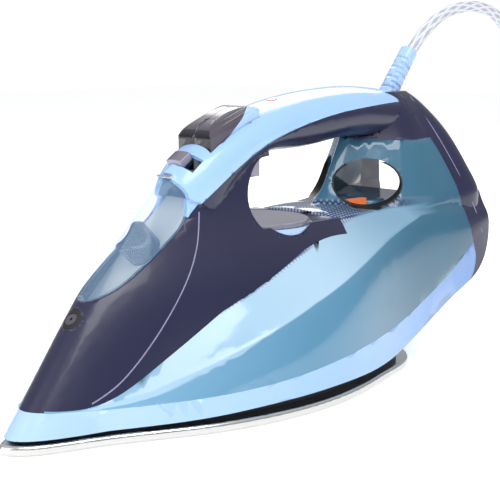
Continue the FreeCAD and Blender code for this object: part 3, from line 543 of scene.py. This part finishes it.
def addSeam(name, side):
    s = seams[name]
    data = bpy.data.curves.new(name, "CURVE")
    data.dimensions = "3D"
    data.bevel_depth = s["bead"]
    data.bevel_resolution = 2
    data.use_fill_caps = True
    line = data.splines.new("NURBS")
    line.points.add(len(s["points"]) - 1)
    for point, (x, y, z) in zip(line.points, s["points"]):
        point.co = (x, y * side, z, 1.0)
    line.order_u = 3
    line.use_endpoint_u = True
    line.resolution_u = 10
    seam = bpy.data.objects.new(name + ("Near" if side > 0 else "Far"), data)
    bpy.context.collection.objects.link(seam)
    pick(seam)
    bpy.ops.object.convert(target="MESH")
    seam = bpy.context.object
    seam.data.materials.clear()
    seam.data.materials.append(bpy.data.materials[s["finish"]])
    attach(seam, "body")


for name in seams:
    for side in (1, -1):
        addSeam(name, side)

# ---- ribs on the steam slider
sliderSettings = {"centre": (-0.04502, 0, 0.10944), "axis": (0.84, 0, 0.5426), "radius": 0.0200, "ribs": 7,
                  "spread": 12.0, "length": 0.0070, "width": 0.0005, "height": 0.0005}


def addSliderRibs():
    s = sliderSettings
    axis = Vector(s["axis"]).normalized()
    up = Vector((-axis.z, 0, axis.x))
    ribs = []
    for i in range(s["ribs"]):
        angle = math.radians(-s["spread"] + 2 * s["spread"] * i / (s["ribs"] - 1))
        out = up * math.cos(angle) + Vector((0, 1, 0)) * math.sin(angle)
        place = Vector(s["centre"]) + out * s["radius"]
        deselectAll()
        bpy.ops.mesh.primitive_cube_add(size=1)
        rib = bpy.context.object
        rib.scale = (s["width"], s["height"], s["length"])
        turn = axis.to_track_quat("Z", "Y").to_matrix()
        local = turn.transposed() @ out
        outwards = Vector((local.x, local.y, 0)).to_track_quat("Y", "Z").to_matrix()
        rib.rotation_euler = (turn @ outwards).to_euler()
        rib.location = place
        bpy.ops.object.transform_apply(location=True, rotation=True, scale=True)
        ribs.append(rib)
    deselectAll()
    for rib in ribs:
        rib.select_set(True)
    bpy.context.view_layer.objects.active = ribs[0]
    bpy.ops.object.join()
    whole = bpy.context.object
    whole.name = "sliderRibs"
    whole.data.materials.append(darkGrey)
    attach(whole, "slider")


addSliderRibs()

# ---- small dark mark on the deck, just behind the dial
deckMark = {"size": (0.0075, 0.0026, 0.0008), "place": (0.0346, -0.0085, 0.0892), "turn": -60.0}


def addDeckMark():
    deselectAll()
    bpy.ops.mesh.primitive_cube_add(size=1)
    mark = bpy.context.object
    mark.name = "deckMark"
    mark.scale = deckMark["size"]
    mark.rotation_euler = (0, 0, math.radians(deckMark["turn"]))
    mark.location = deckMark["place"]
    bpy.ops.object.transform_apply(location=True, rotation=True, scale=True)
    bevel = mark.modifiers.new("softEdges", "BEVEL")
    bevel.width = 0.0003
    bevel.segments = 2
    bpy.ops.object.modifier_apply(modifier=bevel.name)
    mark.data.materials.append(blackGloss)
    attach(mark, "body")


addDeckMark()
print("small pieces added")

# ---- floor and light
studio = {"floorSize": 6.0, "floorShade": 0.92, "floorGlow": 0.45, "skyStrength": 0.70,
          "sky": [(0.05, (0.42, 0.44, 0.50)), (0.75, (1.0, 1.0, 1.0))]}

# name, place, what it points at, size, power
softboxes = [("keySoftbox", (-0.5, -0.9, 1.3), (0, 0, 0.08), (1.2, 0.8), 14),
             ("rimSoftbox", (0.9, 0.7, 1.0), (0, 0, 0.1), (0.9, 0.9), 9),
             ("noseSoftbox", (-1.4, 0.1, 0.5), (0, 0, 0.08), (0.7, 0.9), 5)]


def addStudio():
    deselectAll()
    bpy.ops.mesh.primitive_plane_add(size=studio["floorSize"], location=(0, 0, -0.0004))
    floor = bpy.context.object
    floor.name = "studioFloor"
    floor.data.materials.append(finish("paleFloor", (studio["floorShade"],) * 3, gloss=0.6, tint=0.01,
                                       glossChange=0.02, grainDepth=0.0, emission=studio["floorGlow"]))
    world = bpy.data.worlds.new("studioWorld")
    bpy.context.scene.world = world
    world.use_nodes = True
    tree = world.node_tree
    background = tree.nodes["Background"]
    output = tree.nodes["World Output"]
    place = tree.nodes.new("ShaderNodeTexCoord")
    split = tree.nodes.new("ShaderNodeSeparateXYZ")
    tree.links.new(place.outputs["Generated"], split.inputs[0])
    sky = tree.nodes.new("ShaderNodeValToRGB")
    for element, (height, shade) in zip(sky.color_ramp.elements, studio["sky"]):
        element.position, element.color = height, (*shade, 1)
    tree.links.new(split.outputs["Z"], sky.inputs["Fac"])
    tree.links.new(sky.outputs["Color"], background.inputs["Color"])
    background.inputs["Strength"].default_value = studio["skyStrength"]
    plain = tree.nodes.new("ShaderNodeBackground")
    plain.inputs["Color"].default_value = (1, 1, 1, 1)
    path = tree.nodes.new("ShaderNodeLightPath")
    choose = tree.nodes.new("ShaderNodeMixShader")
    tree.links.new(path.outputs["Is Camera Ray"], choose.inputs["Fac"])
    tree.links.new(background.outputs[0], choose.inputs[1])
    tree.links.new(plain.outputs[0], choose.inputs[2])
    tree.links.new(choose.outputs[0], output.inputs["Surface"])
    bpy.context.scene.view_settings.view_transform = "Standard"
    for name, place, aim, size, power in softboxes:
        data = bpy.data.lights.new(name, "AREA")
        data.shape = "RECTANGLE"
        data.size, data.size_y = size
        data.energy = power
        lamp = bpy.data.objects.new(name, data)
        lamp.location = place
        lamp.rotation_euler = (Vector(aim) - Vector(place)).to_track_quat("-Z", "Y").to_euler()
        bpy.context.collection.objects.link(lamp)


addStudio()
print("studio set")

bpy.context.view_layer.update()
